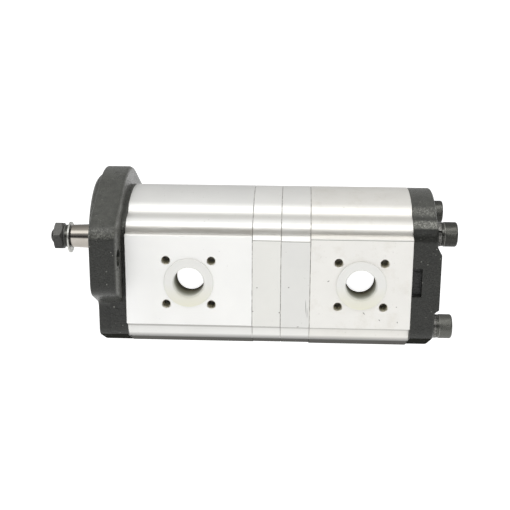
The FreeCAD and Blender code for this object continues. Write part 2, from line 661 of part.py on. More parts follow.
# ---------------------------------------------------------------------------
# transport plugs: thin flange on the pad, cup in the port
# ---------------------------------------------------------------------------
def plug(side, px, r_flange, r_out, r_in, depth):
    """side -1: the plug's flange lies on the -Y pad."""
    def p(d, r):
        return (side * (side_half - d), r)
    pts = [p(-1.1, r_in + 1.2), p(-1.2, r_in + 1.8), p(-1.2, r_flange - 0.5), p(-0.8, r_flange), p(0, r_flange),
           p(0, r_out), p(depth - 0.8, r_out), p(depth, r_out - 0.8), p(depth, 0),
           p(depth - 1.2, 0), p(depth - 1.2, r_in - 0.3), p(depth - 1.6, r_in), p(0.2, r_in), p(-0.6, r_in + 0.4)]
    return revolve_y(pts, px, mid_z)


inlet_plug_front = plug(-1, port_x[0], 15.5, 10.3, 9.4, 18.0)
inlet_plug_rear = plug(-1, port_x[1], 15.5, 10.3, 9.4, 18.0)
outlet_plug_front = plug(1, port_x[0], 12.6, 7.8, 6.9, 14.0)
outlet_plug_rear = plug(1, port_x[1], 12.6, 7.8, 6.9, 14.0)

# ---------------------------------------------------------------------------
# write the nodes
# ---------------------------------------------------------------------------
nodes = {
    "front_cover": front_cover,
    "front_housing": front_housing,
    "middle_plate_front": middle_plate_front,
    "middle_plate_rear": middle_plate_rear,
    "rear_housing": rear_housing,
    "rear_cover": rear_cover,
    "tie_screws": tie_screws,
    "tie_screw_washers": tie_screw_washers,
    "dowel_pins": dowels,
    "housing_seals": housing_seals,
    "plate_seal": plate_seal,
    "front_bearing_block_a": fb_a,
    "rear_bearing_block_a": rb_a,
    "front_bearing_block_b": fb_b,
    "rear_bearing_block_b": rb_b,
    "bearing_bushes_a": bushes_a,
    "bearing_bushes_b": bushes_b,
    "axial_seals_a": seals_a,
    "axial_seals_b": seals_b,
    "backup_rings_a": backs_a,
    "backup_rings_b": backs_b,
    "shaft_seal": shaft_seal,
    "shaft_seal_spring": shaft_seal_spring,
    "seal_circlip": circ,
    "coupling_seal": coupling_seal,
    "drive_shaft_gear": drive,
    "woodruff_key": woodruff_key,
    "shaft_washer": shaft_washer,
    "shaft_spring_washer": spring_w,
    "shaft_nut": shaft_nut,
    "coupling_sleeve": sleeve,
    "rear_drive_gear": rear_drive,
    "driven_gear_front": driven_front,
    "driven_gear_rear": driven_rear,
    "inlet_plug_front": inlet_plug_front,
    "inlet_plug_rear": inlet_plug_rear,
    "outlet_plug_front": outlet_plug_front,
    "outlet_plug_rear": outlet_plug_rear,
}

for name, shp in nodes.items():
    if isinstance(shp, list):
        solids = []
        for s in shp:
            solids += s.Solids
        out = Part.makeCompound(solids)
    else:
        solids = shp.Solids
        out = solids[0] if len(solids) == 1 else Part.makeCompound(solids)
    bad = [i for i, s in enumerate(solids) if not s.isValid()]
    vol = sum(s.Volume for s in solids)
    bb = out.BoundBox
    print("%-24s solids %2d vol %10.1f  X %.2f..%.2f Y %.2f..%.2f Z %.2f..%.2f %s" % (
        name, len(solids), vol, bb.XMin, bb.XMax, bb.YMin, bb.YMax, bb.ZMin, bb.ZMax, "INVALID %s" % bad if bad else ""))
    out.exportStep("parts/" + name + ".step")
print("nodes:", len(nodes))
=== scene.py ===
import json
import math

import bpy
import bmesh
from mathutils import Matrix, Vector


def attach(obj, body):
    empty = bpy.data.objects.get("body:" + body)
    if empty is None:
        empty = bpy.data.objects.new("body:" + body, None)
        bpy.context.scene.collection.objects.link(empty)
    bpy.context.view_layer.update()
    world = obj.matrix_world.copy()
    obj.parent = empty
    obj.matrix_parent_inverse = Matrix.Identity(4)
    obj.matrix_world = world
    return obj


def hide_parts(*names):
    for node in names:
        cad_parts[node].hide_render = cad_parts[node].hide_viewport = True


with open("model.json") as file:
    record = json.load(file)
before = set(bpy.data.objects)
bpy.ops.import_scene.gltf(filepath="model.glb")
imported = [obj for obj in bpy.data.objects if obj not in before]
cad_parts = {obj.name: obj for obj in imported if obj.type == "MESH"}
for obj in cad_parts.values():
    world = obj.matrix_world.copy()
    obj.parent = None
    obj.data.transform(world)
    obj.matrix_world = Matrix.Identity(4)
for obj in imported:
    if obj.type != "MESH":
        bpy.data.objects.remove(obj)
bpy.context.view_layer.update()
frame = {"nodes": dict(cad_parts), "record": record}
NODES = frame["nodes"]

MM = 0.001
scene = bpy.context.scene
scene.view_settings.view_transform = "Standard"
scene.view_settings.look = "None"
scene.view_settings.exposure = 0.0
scene.view_settings.gamma = 1.0

# ---------------------------------------------------------------------------
# dimensions shared with the CAD part (millimetres, row frame)
# ---------------------------------------------------------------------------
SIDE = 45.25
MID_Z = -17.5
PORT_X = (58.3, 165.5)
INLET_PITCH, OUTLET_PITCH = 28.28, 24.75
SCREWS = ((32.2, 12.9), (-32.2, 12.9), (32.2, -47.3), (-32.2, -47.3))
X_SEAT = 211.8
X_HEAD = X_SEAT + 2.4
BOTTOM = -68.6
X_COVER = 18.7
JOINTS = (18.7, 97.9, 115.7, 133.9, 196.8)


# ---------------------------------------------------------------------------
# mesh helpers
# ---------------------------------------------------------------------------
def new_object(name, verts, faces, sharp_deg=32.0):
    """verts in millimetres."""
    me = bpy.data.meshes.new(name)
    me.from_pydata([(x * MM, y * MM, z * MM) for x, y, z in verts], [], faces)
    me.validate()
    bm = bmesh.new()
    bm.from_mesh(me)
    bmesh.ops.recalc_face_normals(bm, faces=bm.faces)
    bm.to_mesh(me)
    bm.free()
    me.shade_smooth()
    me.set_sharp_from_angle(angle=math.radians(sharp_deg))
    ob = bpy.data.objects.new(name, me)
    scene.collection.objects.link(ob)
    return ob


class MeshData:
    """Collects rings and shells, so that one piece can have several closed shells."""

    def __init__(self):
        self.v = []
        self.f = []

    def ring_loft(self, rings, closed_profile=False, cap_start=True, cap_end=True):
        """rings: list of equally long point lists, or a single point for a pole."""
        idx = []
        for r in rings:
            start = len(self.v)
            self.v.extend(r)
            idx.append(list(range(start, start + len(r))))
        pairs = list(zip(idx[:-1], idx[1:]))
        if closed_profile:
            pairs.append((idx[-1], idx[0]))
        for a, b in pairs:
            if len(a) == 1 and len(b) == 1:
                continue
            n = max(len(a), len(b))
            for i in range(n):
                j = (i + 1) % n
                if len(a) == 1:
                    self.f.append((a[0], b[j], b[i]))
                elif len(b) == 1:
                    self.f.append((a[i], a[j], b[0]))
                else:
                    self.f.append((a[i], a[j], b[j], b[i]))
        if not closed_profile:
            if cap_start and len(idx[0]) > 1:
                self.f.append(tuple(reversed(idx[0])))
            if cap_end and len(idx[-1]) > 1:
                self.f.append(tuple(idx[-1]))

    def lathe(self, prof, seg, axis, cx, cy, cz, closed_profile=False):
        """prof: (along, radius). axis 'x' or 'y'."""
        rings = []
        for a, r in prof:
            if r < 1e-6:
                rings.append([(a, cy, cz)] if axis == "x" else [(cx, a, cz)])
                continue
            ring = []
            for k in range(seg):
                t = 2 * math.pi * k / seg
                if axis == "x":
                    ring.append((a, cy + r * math.cos(t), cz + r * math.sin(t)))
                else:
                    ring.append((cx + r * math.cos(t), a, cz + r * math.sin(t)))
            rings.append(ring)
        self.ring_loft(rings, closed_profile)

    def make(self, name, sharp_deg=32.0):
        return new_object(name, self.v, self.f, sharp_deg)


def round_profile(pts, steps=5, closed=False):
    """pts: (a, r, radius). Corners with a radius become arcs."""
    out = []
    n = len(pts)
    for i in range(n):
        p = Vector((pts[i][0], pts[i][1]))
        rad = pts[i][2] if len(pts[i]) > 2 else 0.0
        if rad <= 0 or (not closed and i in (0, n - 1)):
            out.append((p.x, p.y))
            continue
        a = Vector(pts[i - 1][:2]) - p
        b = Vector(pts[(i + 1) % n][:2]) - p
        a.normalize()
        b.normalize()
        ang = a.angle(b)
        if ang > math.radians(178):
            out.append((p.x, p.y))
            continue
        t = rad / math.tan(ang / 2)
        c = p + (a + b).normalized() * (rad / math.sin(ang / 2))
        s = p + a * t - c
        e = p + b * t - c
        sweep = s.angle(e)
        cross = s.x * e.y - s.y * e.x
        sg = 1 if cross > 0 else -1
        for k in range(steps + 1):
            th = sg * sweep * k / steps
            out.append((c.x + s.x * math.cos(th) - s.y * math.sin(th), c.y + s.x * math.sin(th) + s.y * math.cos(th)))
    return out


# ---------------------------------------------------------------------------
# material helpers
# ---------------------------------------------------------------------------
class Mat:
    def __init__(self, name):
        self.m = bpy.data.materials.new(name)
        self.m.use_nodes = True
        self.t = self.m.node_tree
        self.t.nodes.clear()
        self.out = self.t.nodes.new("ShaderNodeOutputMaterial")
        self.b = self.t.nodes.new("ShaderNodeBsdfPrincipled")
        self.t.links.new(self.b.outputs[0], self.out.inputs[0])
        self.co = self.t.nodes.new("ShaderNodeTexCoord").outputs["Object"]

    def node(self, kind, **kw):
        n = self.t.nodes.new(kind)
        for k, v in kw.items():
            setattr(n, k, v)
        return n

    def link(self, a, b):
        self.t.links.new(a, b)

    def mapped(self, scale=(1, 1, 1), rot=(0, 0, 0)):
        n = self.node("ShaderNodeMapping")
        n.inputs["Scale"].default_value = scale
        n.inputs["Rotation"].default_value = rot
        self.link(self.co, n.inputs["Vector"])
        return n.outputs[0]

    def noise(self, scale, detail=3.0, rough=0.55, vec=None, dist=0.0):
        n = self.node("ShaderNodeTexNoise")
        n.inputs["Scale"].default_value = scale
        n.inputs["Detail"].default_value = detail
        n.inputs["Roughness"].default_value = rough
        n.inputs["Distortion"].default_value = dist
        self.link(vec if vec is not None else self.co, n.inputs["Vector"])
        return n.outputs["Fac"]

    def voronoi(self, scale, vec=None, feature="F1", rand=1.0):
        n = self.node("ShaderNodeTexVoronoi", feature=feature)
        n.inputs["Scale"].default_value = scale
        n.inputs["Randomness"].default_value = rand
        self.link(vec if vec is not None else self.co, n.inputs["Vector"])
        return n.outputs["Distance"]

    def ramp(self, fac, stops):
        n = self.node("ShaderNodeValToRGB")
        el = n.color_ramp.elements
        while len(el) > 1:
            el.remove(el[-1])
        el[0].position, el[0].color = stops[0][0], tuple(stops[0][1]) + (1,)
        for p, c in stops[1:]:
            e = el.new(p)
            e.color = tuple(c) + (1,)
        self.link(fac, n.inputs[0])
        return n.outputs[0]

    def math(self, op, a, b=None, clamp=False):
        n = self.node("ShaderNodeMath", operation=op)
        n.use_clamp = clamp
        for i, v in enumerate((a, b)):
            if v is None:
                continue
            if isinstance(v, (int, float)):
                n.inputs[i].default_value = v
            else:
                self.link(v, n.inputs[i])
        return n.outputs[0]

    def maprange(self, v, a, b, c, d):
        n = self.node("ShaderNodeMapRange")
        n.clamp = True
        self.link(v, n.inputs[0])
        for i, x in enumerate((a, b, c, d)):
            n.inputs[i + 1].default_value = x
        return n.outputs[0]

    def mix(self, fac, a, b):
        n = self.node("ShaderNodeMix", data_type="RGBA")
        if isinstance(fac, (int, float)):
            n.inputs[0].default_value = fac
        else:
            self.link(fac, n.inputs[0])
        for i, v in ((6, a), (7, b)):
            if isinstance(v, tuple):
                n.inputs[i].default_value = v + (1,) if len(v) == 3 else v
            else:
                self.link(v, n.inputs[i])
        return n.outputs[2]

    def bump(self, height, strength, distance, normal=None):
        n = self.node("ShaderNodeBump")
        n.inputs["Strength"].default_value = strength
        n.inputs["Distance"].default_value = distance
        self.link(height, n.inputs["Height"])
        if normal is not None:
            self.link(normal, n.inputs["Normal"])
        return n.outputs[0]

    def rounded(self, radius, samples=4):
        """Normal with softened edges and a mask that is 1 along them."""
        n = self.node("ShaderNodeBevel", samples=samples)
        n.inputs["Radius"].default_value = radius
        g = self.node("ShaderNodeNewGeometry")
        d = self.node("ShaderNodeVectorMath", operation="DOT_PRODUCT")
        self.link(n.outputs[0], d.inputs[0])
        self.link(g.outputs["Normal"], d.inputs[1])
        edge = self.maprange(d.outputs["Value"], 0.985, 0.86, 0.0, 1.0)
        return n.outputs[0], edge

    def band(self, v, centre, half_width, soft):
        """1 inside centre +- half_width."""
        a = self.math("ABSOLUTE", self.math("SUBTRACT", v, centre))
        return self.maprange(a, half_width, half_width + soft, 1.0, 0.0)

    def spot(self, xyz, px, pz, rx, rz, turn=0.0):
        """Soft elliptic mask at a place on the side of the body."""
        dx = self.math("SUBTRACT", xyz[0], px)
        dz = self.math("SUBTRACT", xyz[2], pz)
        c, s_ = math.cos(turn), math.sin(turn)
        u = self.math("ADD", self.math("MULTIPLY", dx, c / rx), self.math("MULTIPLY", dz, s_ / rx))
        v = self.math("ADD", self.math("MULTIPLY", dx, -s_ / rz), self.math("MULTIPLY", dz, c / rz))
        d = self.math("ADD", self.math("MULTIPLY", u, u), self.math("MULTIPLY", v, v))
        return self.maprange(d, 0.35, 1.0, 1.0, 0.0)

    def any_of(self, masks):
        out = masks[0]
        for k in masks[1:]:
            out = self.math("MAXIMUM", out, k)
        return out

    def separate(self, vec=None):
        n = self.node("ShaderNodeSeparateXYZ")
        self.link(vec if vec is not None else self.co, n.inputs[0])
        return n.outputs

    def set(self, **kw):
        names = {"color": "Base Color", "metal": "Metallic", "rough": "Roughness", "ior": "IOR", "spec": "Specular IOR Level",
                 "normal": "Normal", "coat": "Coat Weight", "coat_rough": "Coat Roughness", "aniso": "Anisotropic",
                 "emit": "Emission Color", "emit_strength": "Emission Strength", "sss": "Subsurface Weight"}
        for k, v in kw.items():
            s = self.b.inputs[names[k]]
            if isinstance(v, bpy.types.NodeSocket):
                self.link(v, s)
            elif isinstance(v, tuple) and len(v) == 3 and len(s.default_value) == 4:
                s.default_value = v + (1,)
            else:
                s.default_value = v
        return self


# ---------------------------------------------------------------------------
# materials
# ---------------------------------------------------------------------------
def cast_iron_black():
    m = Mat("cast_iron_black")
    soft, edge = m.rounded(0.0006)
    grain = m.noise(1250, 3.0, 0.62)
    sand = m.voronoi(900)
    big = m.noise(70, 3.0, 0.5)
    cells = m.node("ShaderNodeTexVoronoi", feature="F1")
    cells.inputs["Scale"].default_value = 1700
    m.link(m.co, cells.inputs["Vector"])
    pick = m.node("ShaderNodeSeparateColor")
    m.link(cells.outputs["Color"], pick.inputs[0])
    flake = m.maprange(pick.outputs[0], 0.78, 0.95, 0.0, 1.0)
    glint = m.maprange(pick.outputs[1], 0.9955, 0.9985, 0.0, 1.0)
    col = m.ramp(grain, [(0.28, (0.0092, 0.0096, 0.0078)), (0.55, (0.0160, 0.0167, 0.0136)), (0.80, (0.028, 0.0292, 0.0242))])
    geo = m.node("ShaderNodeNewGeometry")
    nz = m.separate(geo.outputs["Normal"])[2]
    # dust and painted light: up-facing faces are made paler, partly as dust and partly as painted light from above
    up = m.maprange(nz, 0.10, 0.80, 0.0, 1.0)
    dust = m.math("MULTIPLY", up, m.maprange(m.noise(260, 4.0, 0.6), 0.30, 0.70, 0.35, 0.80))
    xyz = m.separate()
    is_rear = m.maprange(xyz[0], 0.100, 0.101, 0.0, 1.0)
    # painted shade: darker, less dusty bands on the rear cover between the painted highlight bands, and a little over
    # all of the rear
    shaded_rear_bands = m.math("MULTIPLY", m.band(xyz[2], 0.0145, 0.0034, 0.0012), is_rear)
    shaded_rear_bands = m.any_of([shaded_rear_bands, m.math("MULTIPLY", m.band(xyz[2], 0.0228, 0.0006, 0.0010), m.math("MULTIPLY", is_rear, 0.35)),
                      m.math("MULTIPLY", is_rear, 0.10)])
    dust = m.math("MULTIPLY", dust, m.math("SUBTRACT", 1.0, m.math("MULTIPLY", shaded_rear_bands, 0.9)))
    col = m.mix(dust, col, (0.084, 0.086, 0.073))
    # painted highlight: the grain flakes are paler on up-facing faces
    col = m.mix(m.math("MULTIPLY", flake, m.maprange(up, 0.0, 1.0, 0.20, 0.60)), col, (0.085, 0.088, 0.074))
    # painted highlights: pale specks in bands that face the soft box, on the ears in front and in two bands at the
    # rear
    painted_sparkle_front = m.math("MULTIPLY", m.band(nz, 0.40, 0.15, 0.17), m.math("SUBTRACT", 1.0, is_rear))
    painted_sparkle_high = m.math("MULTIPLY", m.band(xyz[2], 0.0262, 0.0011, 0.0016), 0.55)
    painted_sparkle_low = m.band(xyz[2], 0.0202, 0.0010, 0.0012)
    painted_sparkle_rear = m.math("MULTIPLY", m.math("MAXIMUM", painted_sparkle_high, painted_sparkle_low), is_rear)
    painted_sparkle_bands = m.math("MAXIMUM", m.math("MULTIPLY", painted_sparkle_front, 0.38), painted_sparkle_rear)
    painted_sparkle_specks = m.math("MULTIPLY", m.maprange(pick.outputs[2], 0.55, 0.85, 0.0, 1.0), painted_sparkle_bands)
    col = m.mix(m.math("MULTIPLY", painted_sparkle_bands, 0.52), col, (0.165, 0.165, 0.147))
    col = m.mix(m.math("MULTIPLY", painted_sparkle_specks, 0.75), col, (0.42, 0.42, 0.38))
    # back faces of the ears, a little paler
    nx = m.separate(geo.outputs["Normal"])[0]
    ear_back = m.math("MULTIPLY", m.maprange(nx, 0.62, 0.97, 0.0, 1.0), m.band(xyz[0], 0.0160, 0.0022, 0.0006))
    col = m.mix(m.math("MULTIPLY", ear_back, 0.85), col, (0.105, 0.106, 0.096))
    # painted light: the down-facing faces under the ears are made paler
    painted_light_ear_underside = m.math("MULTIPLY", m.maprange(nz, -0.35, -0.75, 0.0, 1.0), m.maprange(xyz[2], -0.044, -0.034, 0.0, 1.0))
    col = m.mix(m.math("MULTIPLY", painted_light_ear_underside, 0.7), col, (0.050, 0.051, 0.046))
    # painted shade on the down-facing faces at the bottom, with less specular
    low = m.maprange(xyz[2], -0.040, -0.052, 0.0, 1.0)
    shaded_underside = m.math("MULTIPLY", m.maprange(nz, -0.42, -0.74, 0.0, 1.0), low)
    col = m.mix(m.math("MULTIPLY", shaded_underside, 0.3), col, (0.020, 0.020, 0.019))
    # painted shade on the rear bands
    col = m.mix(m.math("MULTIPLY", shaded_rear_bands, 0.30), col, (0.006, 0.006, 0.0055))
    end_face = m.maprange(m.math("ABSOLUTE", nx), 0.55, 0.90, 0.6, 0.18)
    col = m.mix(m.math("MULTIPLY", glint, end_face), col, (0.34, 0.34, 0.31))
    worn = m.math("MULTIPLY", edge, m.maprange(m.noise(900, 3.0, 0.6), 0.42, 0.70, 0.0, 0.55))
    col = m.mix(worn, col, (0.13, 0.13, 0.122))
    # painted shade inside the side pockets
    ay = m.math("ABSOLUTE", m.separate()[1])
    shaded_pocket = m.math("MULTIPLY", m.band(m.separate()[2], -0.01525, 0.0092, 0.0002), m.band(m.separate()[0], 0.1998, 0.0031, 0.0001))
    shaded_pocket = m.math("MULTIPLY", shaded_pocket, m.maprange(ay, 0.0452, 0.0448, 0.0, 1.0))
    col = m.mix(m.math("MULTIPLY", shaded_pocket, 0.8), col, (0.004, 0.004, 0.0035))
    rough = m.math("SUBTRACT", m.maprange(big, 0.3, 0.7, 0.36, 0.30), m.math("MULTIPLY", flake, 0.10))
    h = m.math("ADD", m.math("MULTIPLY", grain, 1.0), m.math("MULTIPLY", sand, 0.8))
    h = m.math("ADD", h, m.math("MULTIPLY", big, 1.2))
    scars = m.maprange(m.noise(1.0, 3.0, 0.6, vec=m.mapped((150, 150, 620))), 0.60, 0.72, 0.0, 2.2)
    h = m.math("SUBTRACT", h, scars)
    # specular is lowered under the painted shade of the underside and of the rear bands
    spec = m.math("MULTIPLY", m.math("SUBTRACT", 1.0, m.math("MAXIMUM", shaded_underside, m.math("MULTIPLY", shaded_rear_bands, 0.5))), 0.44)
    m.set(spec=0.44)
    m.set(color=col, metal=m.math("MULTIPLY", glint, 0.7), rough=rough, spec=spec, normal=m.bump(h, 0.55, 0.00030, soft))
    return m.m


def aluminium(name, tint, seed, joints, lines_z=(), marks=(), stain=0.0, pad_tint=None, grime_and_shade_k=1.0, grime_and_shade_z=0.0150):
    """Extruded body with milled pads. joints: X of the joint faces, lines_z: thin
    dark lines along the pads, marks: small nicks (x, z, rx, rz, turn)."""
    m = Mat(name)
    soft, edge = m.rounded(0.00035)
    xyz = m.separate()
    # milled pads: |y| above the extruded section
    ay = m.math("ABSOLUTE", xyz[1])
    pad = m.maprange(ay, 0.04515, 0.04522, 0.0, 1.0)
    cloud = m.noise(30 + seed, 3.0, 0.6)
    fine = m.noise(1500, 3.0, 0.6)
    lines = m.noise(1.0, 3.0, 0.6, vec=m.mapped((14, 2600, 2600)))            # drawn along X
    mill = m.noise(1.0, 2.0, 0.5, vec=m.mapped((40, 60, 1100)))               # cutter marks along the pads
    pad_tint = pad_tint or tint
    base = m.mix(pad, m.ramp(cloud, [(0.32, tuple(0.955 * t for t in tint)), (0.62, tint)]),
                 m.ramp(cloud, [(0.32, tuple(0.965 * t for t in pad_tint)), (0.62, pad_tint)]))
    # darker band in the valley above the lobes
    valley = m.math("MULTIPLY", m.band(xyz[2], 0.0232, 0.0010, 0.0014), m.math("SUBTRACT", 1.0, pad))
    base = m.mix(m.math("MULTIPLY", valley, 0.40), base, (0.60, 0.585, 0.54))
    dust = m.maprange(m.noise(420 + 7 * seed, 2.0, 0.5), 0.70, 0.76, 0.0, 0.22)
    base = m.mix(dust, base, (0.42, 0.40, 0.36))
    if stain > 0:
        blot = m.math("MULTIPLY", m.maprange(m.noise(95, 5.0, 0.7), 0.52, 0.70, 0.0, stain), 1.0)
        base = m.mix(blot, base, (0.60, 0.56, 0.47))
    gap = m.maprange(m.noise(260, 3.0, 0.6), 0.40, 0.60, 0.22, 1.0)
    dark = [m.math("MULTIPLY", m.band(xyz[0], x * MM, 0.00008, 0.00016), gap) for x in joints]
    for z in lines_z:
        dark.append(m.math("MULTIPLY", m.band(xyz[2], z * MM, 0.00012, 0.00014), pad))
    front = m.maprange(xyz[1], -0.04515, -0.04522, 0.0, 1.0)
    for x, z, rx, rz, turn in marks:
        dark.append(m.math("MULTIPLY", m.spot(xyz, x * MM, z * MM, rx * MM, rz * MM, turn), front))
    dmask = m.any_of(dark)
    base = m.mix(m.math("MULTIPLY", dmask, 0.80), base, (0.13, 0.124, 0.108))
    worn = m.math("MULTIPLY", edge, m.maprange(m.noise(700, 3.0, 0.6), 0.50, 0.70, 0.0, 0.35))
    base = m.mix(worn, base, (0.55, 0.54, 0.50))
    # painted light: the pad is made paler near the flange, where the ear shades it
    if seed == 0:
        painted_light_near_flange = m.math("MULTIPLY", m.maprange(xyz[0], 0.0185, 0.036, 1.0, 0.0), pad)
        base = m.mix(m.math("MULTIPLY", painted_light_near_flange, 0.9), base, (1.0, 1.0, 0.985))
    # painted highlight on the chamfered edge in front of the first joint
    painted_edge_highlight = m.math("MULTIPLY", m.band(xyz[0], joints[1] * MM - 0.00048, 0.00016, 0.00018), pad)
    base = m.mix(m.math("MULTIPLY", painted_edge_highlight, 0.9 if seed == 0 else 0.0), base, (0.97, 0.97, 0.96))
    # painted shade in the step below the pads and on the underside
    shade_below_pads = m.math("MULTIPLY", m.band(xyz[2], -0.0464, 0.0008, 0.0008), m.math("SUBTRACT", 1.0, pad))
    base = m.mix(m.math("MULTIPLY", shade_below_pads, 0.55), base, (0.26, 0.25, 0.23))
    # oily grime and painted shade where the lobe meets the ledge of the pad
    grime_and_shade = m.math("MULTIPLY", m.band(xyz[2], grime_and_shade_z, 0.0010, 0.0020), m.math("SUBTRACT", 1.0, pad))
    grime_and_shade = m.math("MULTIPLY", grime_and_shade, m.maprange(m.noise(1.0, 3.0, 0.55, vec=m.mapped((60, 240, 420))), 0.30, 0.62, 0.30 * grime_and_shade_k, 0.62 * grime_and_shade_k))
    base = m.mix(grime_and_shade, base, (0.40, 0.365, 0.305))
    geo = m.node("ShaderNodeNewGeometry")
    nz = m.separate(geo.outputs["Normal"])[2]
    # painted shade: darker towards the bottom and on the down-facing faces, with less metal and specular there
    lower = m.math("MULTIPLY", m.maprange(xyz[2], -0.0462, -0.0470, 0.0, 1.0), m.math("SUBTRACT", 1.0, pad))
    base = m.mix(m.math("MULTIPLY", lower, 0.10), base, (0.05, 0.048, 0.043))
    base = m.mix(m.maprange(nz, -0.50, -0.80, 0.0, 0.80), base, (0.12, 0.118, 0.11))
    shaded_underside = m.any_of([m.maprange(nz, -0.78, -0.92, 0.0, 1.0), m.maprange(xyz[2], -0.0574, -0.0590, 0.0, 1.0)])
    base = m.mix(m.math("MULTIPLY", shaded_underside, 0.95), base, (0.095, 0.093, 0.086))
    r = m.node("ShaderNodeMix", data_type="FLOAT")
    m.link(pad, r.inputs[0])
    m.link(m.maprange(lines, 0.3, 0.7, 0.31, 0.38), r.inputs[2])
    m.link(m.maprange(mill, 0.3, 0.7, 0.38, 0.50), r.inputs[3])
    h = m.node("ShaderNodeMix", data_type="FLOAT")
    m.link(pad, h.inputs[0])
    m.link(m.math("ADD", m.math("MULTIPLY", lines, 0.7), m.math("MULTIPLY", fine, 0.4)), h.inputs[2])
    m.link(m.math("ADD", m.math("MULTIPLY", mill, 0.8), m.math("MULTIPLY", fine, 0.3)), h.inputs[3])
    metal = m.math("MULTIPLY", m.maprange(pad, 0.0, 1.0, 0.62, 0.16), m.math("SUBTRACT", 1.0, shaded_underside))
    spec = m.math("MULTIPLY", m.math("SUBTRACT", 1.0, shaded_underside), 0.5)
    m.set(color=base, metal=metal, spec=spec, rough=r.outputs[0], normal=m.bump(h.outputs[0], 0.035, 0.00005, soft))
    return m.m


def thread_aluminium():
    """Cut thread with cutting oil left in it, and painted shade that darkens it with depth."""
    m = Mat("thread_aluminium")
    n = m.noise(900, 3.0)
    ay = m.math("ABSOLUTE", m.separate()[1])
    depth = m.maprange(ay, 0.0449, 0.0415, 0.0, 1.0)
    base = m.mix(depth, (0.82, 0.80, 0.70), (0.74, 0.71, 0.60))
    base = m.mix(m.maprange(n, 0.45, 0.7, 0.0, 0.3), base, (0.30, 0.28, 0.22))
    m.set(color=base, metal=0.7, rough=m.maprange(n, 0.3, 0.7, 0.30, 0.42), normal=m.bump(n, 0.15, 0.00004))
    return m.m


def block_aluminium():
    m = Mat("block_aluminium")
    n = m.noise(300, 3.0)
    m.set(color=m.ramp(n, [(0.3, (0.52, 0.52, 0.51)), (0.7, (0.66, 0.66, 0.64))]), metal=0.85,
          rough=m.maprange(n, 0.3, 0.7, 0.35, 0.5), normal=m.bump(n, 0.2, 0.00005))
    return m.m


def ground_steel():
    """Ground steel; the threaded end in front of the taper is blackened."""
    m = Mat("ground_steel")
    lines = m.noise(1.0, 3.0, 0.6, vec=m.mapped((2600, 40, 40)))
    cloud = m.noise(160, 3.0)
    base = m.ramp(cloud, [(0.3, (0.46, 0.427, 0.385)), (0.7, (0.54, 0.506, 0.46))])
    geo = m.node("ShaderNodeNewGeometry")
    painted_dark_top = m.maprange(m.separate(geo.outputs["Normal"])[2], 0.42, 0.72, 0.0, 0.72)      # painted dark reflection on top
    nz = m.separate(geo.outputs["Normal"])[2]
    # painted shade: the lower half of the shaft is darker
    base = m.mix(m.maprange(nz, -0.16, -0.60, 0.30, 0.62), base, m.mix(0.5, base, (0.12, 0.11, 0.095)))
    # painted dark reflection: a band along the side just above the middle
    base = m.mix(m.math("MULTIPLY", m.band(nz, 0.12, 0.05, 0.05), 0.8), base, (0.040, 0.036, 0.030))
    base = m.mix(painted_dark_top, base, (0.13, 0.12, 0.10))
    dark = m.maprange(m.separate()[0], -0.0240, -0.0243, 0.0, 1.0)
    base = m.mix(dark, base, (0.050, 0.048, 0.044))
    rough = m.math("ADD", m.maprange(lines, 0.3, 0.7, 0.12, 0.17), m.math("MULTIPLY", dark, 0.16))
    m.set(color=base, metal=1.0, rough=rough, normal=m.bump(lines, 0.05, 0.00002))
    return m.m


def washer_steel():
    m = Mat("washer_steel")
    n = m.noise(700, 3.0)
    m.set(color=m.ramp(n, [(0.3, (0.42, 0.42, 0.39)), (0.7, (0.60, 0.60, 0.57))]), metal=0.8,
          rough=m.maprange(n, 0.3, 0.7, 0.26, 0.42), normal=m.bump(n, 0.3, 0.00005))
    return m.m


def black_screw_steel():
    m = Mat("black_screw_steel")
    soft, edge = m.rounded(0.00030)
    n = m.noise(800, 4.0, 0.6)
    base = m.ramp(n, [(0.35, (0.044, 0.045, 0.040)), (0.7, (0.060, 0.061, 0.054))])
    geo = m.node("ShaderNodeNewGeometry")
    nz = m.separate(geo.outputs["Normal"])[2]
    pz = m.separate()[2]
    lower_head = m.maprange(pz, -0.025, -0.030, 0.0, 1.0)
    # painted highlight along the upper flank of the heads, weaker on the lower screws
    base = m.mix(m.math("MULTIPLY", m.band(nz, 0.42, 0.08, 0.12), m.math("SUBTRACT", 0.7, m.math("MULTIPLY", lower_head, 0.5))), base, (0.22, 0.22, 0.20))
    # painted shade on the lower side of the upper heads
    base = m.mix(m.math("MULTIPLY", m.maprange(nz, 0.20, -0.25, 0.0, 0.75), m.math("SUBTRACT", 1.0, lower_head)), base, (0.030, 0.030, 0.027))
    # painted light: the lower heads are paler overall
    base = m.mix(m.math("MULTIPLY", lower_head, 0.48), base, (0.17, 0.17, 0.155))
    worn = m.math("MULTIPLY", edge, m.maprange(m.noise(1100, 3.0, 0.6), 0.42, 0.66, 0.0, 0.7))
    # painted glint on the ring where the knurl starts, mixed in with the worn edges
    ring = m.band(m.separate()[0], (X_HEAD + 1.75) * MM, 0.0002, 0.0002)
    worn = m.any_of([worn, m.math("MULTIPLY", ring, 0.7)])
    base = m.mix(worn, base, (0.30, 0.295, 0.275))
    m.set(color=base, metal=0.90, rough=m.maprange(n, 0.3, 0.7, 0.24, 0.32), normal=m.bump(n, 0.08, 0.00004, soft))
    return m.m


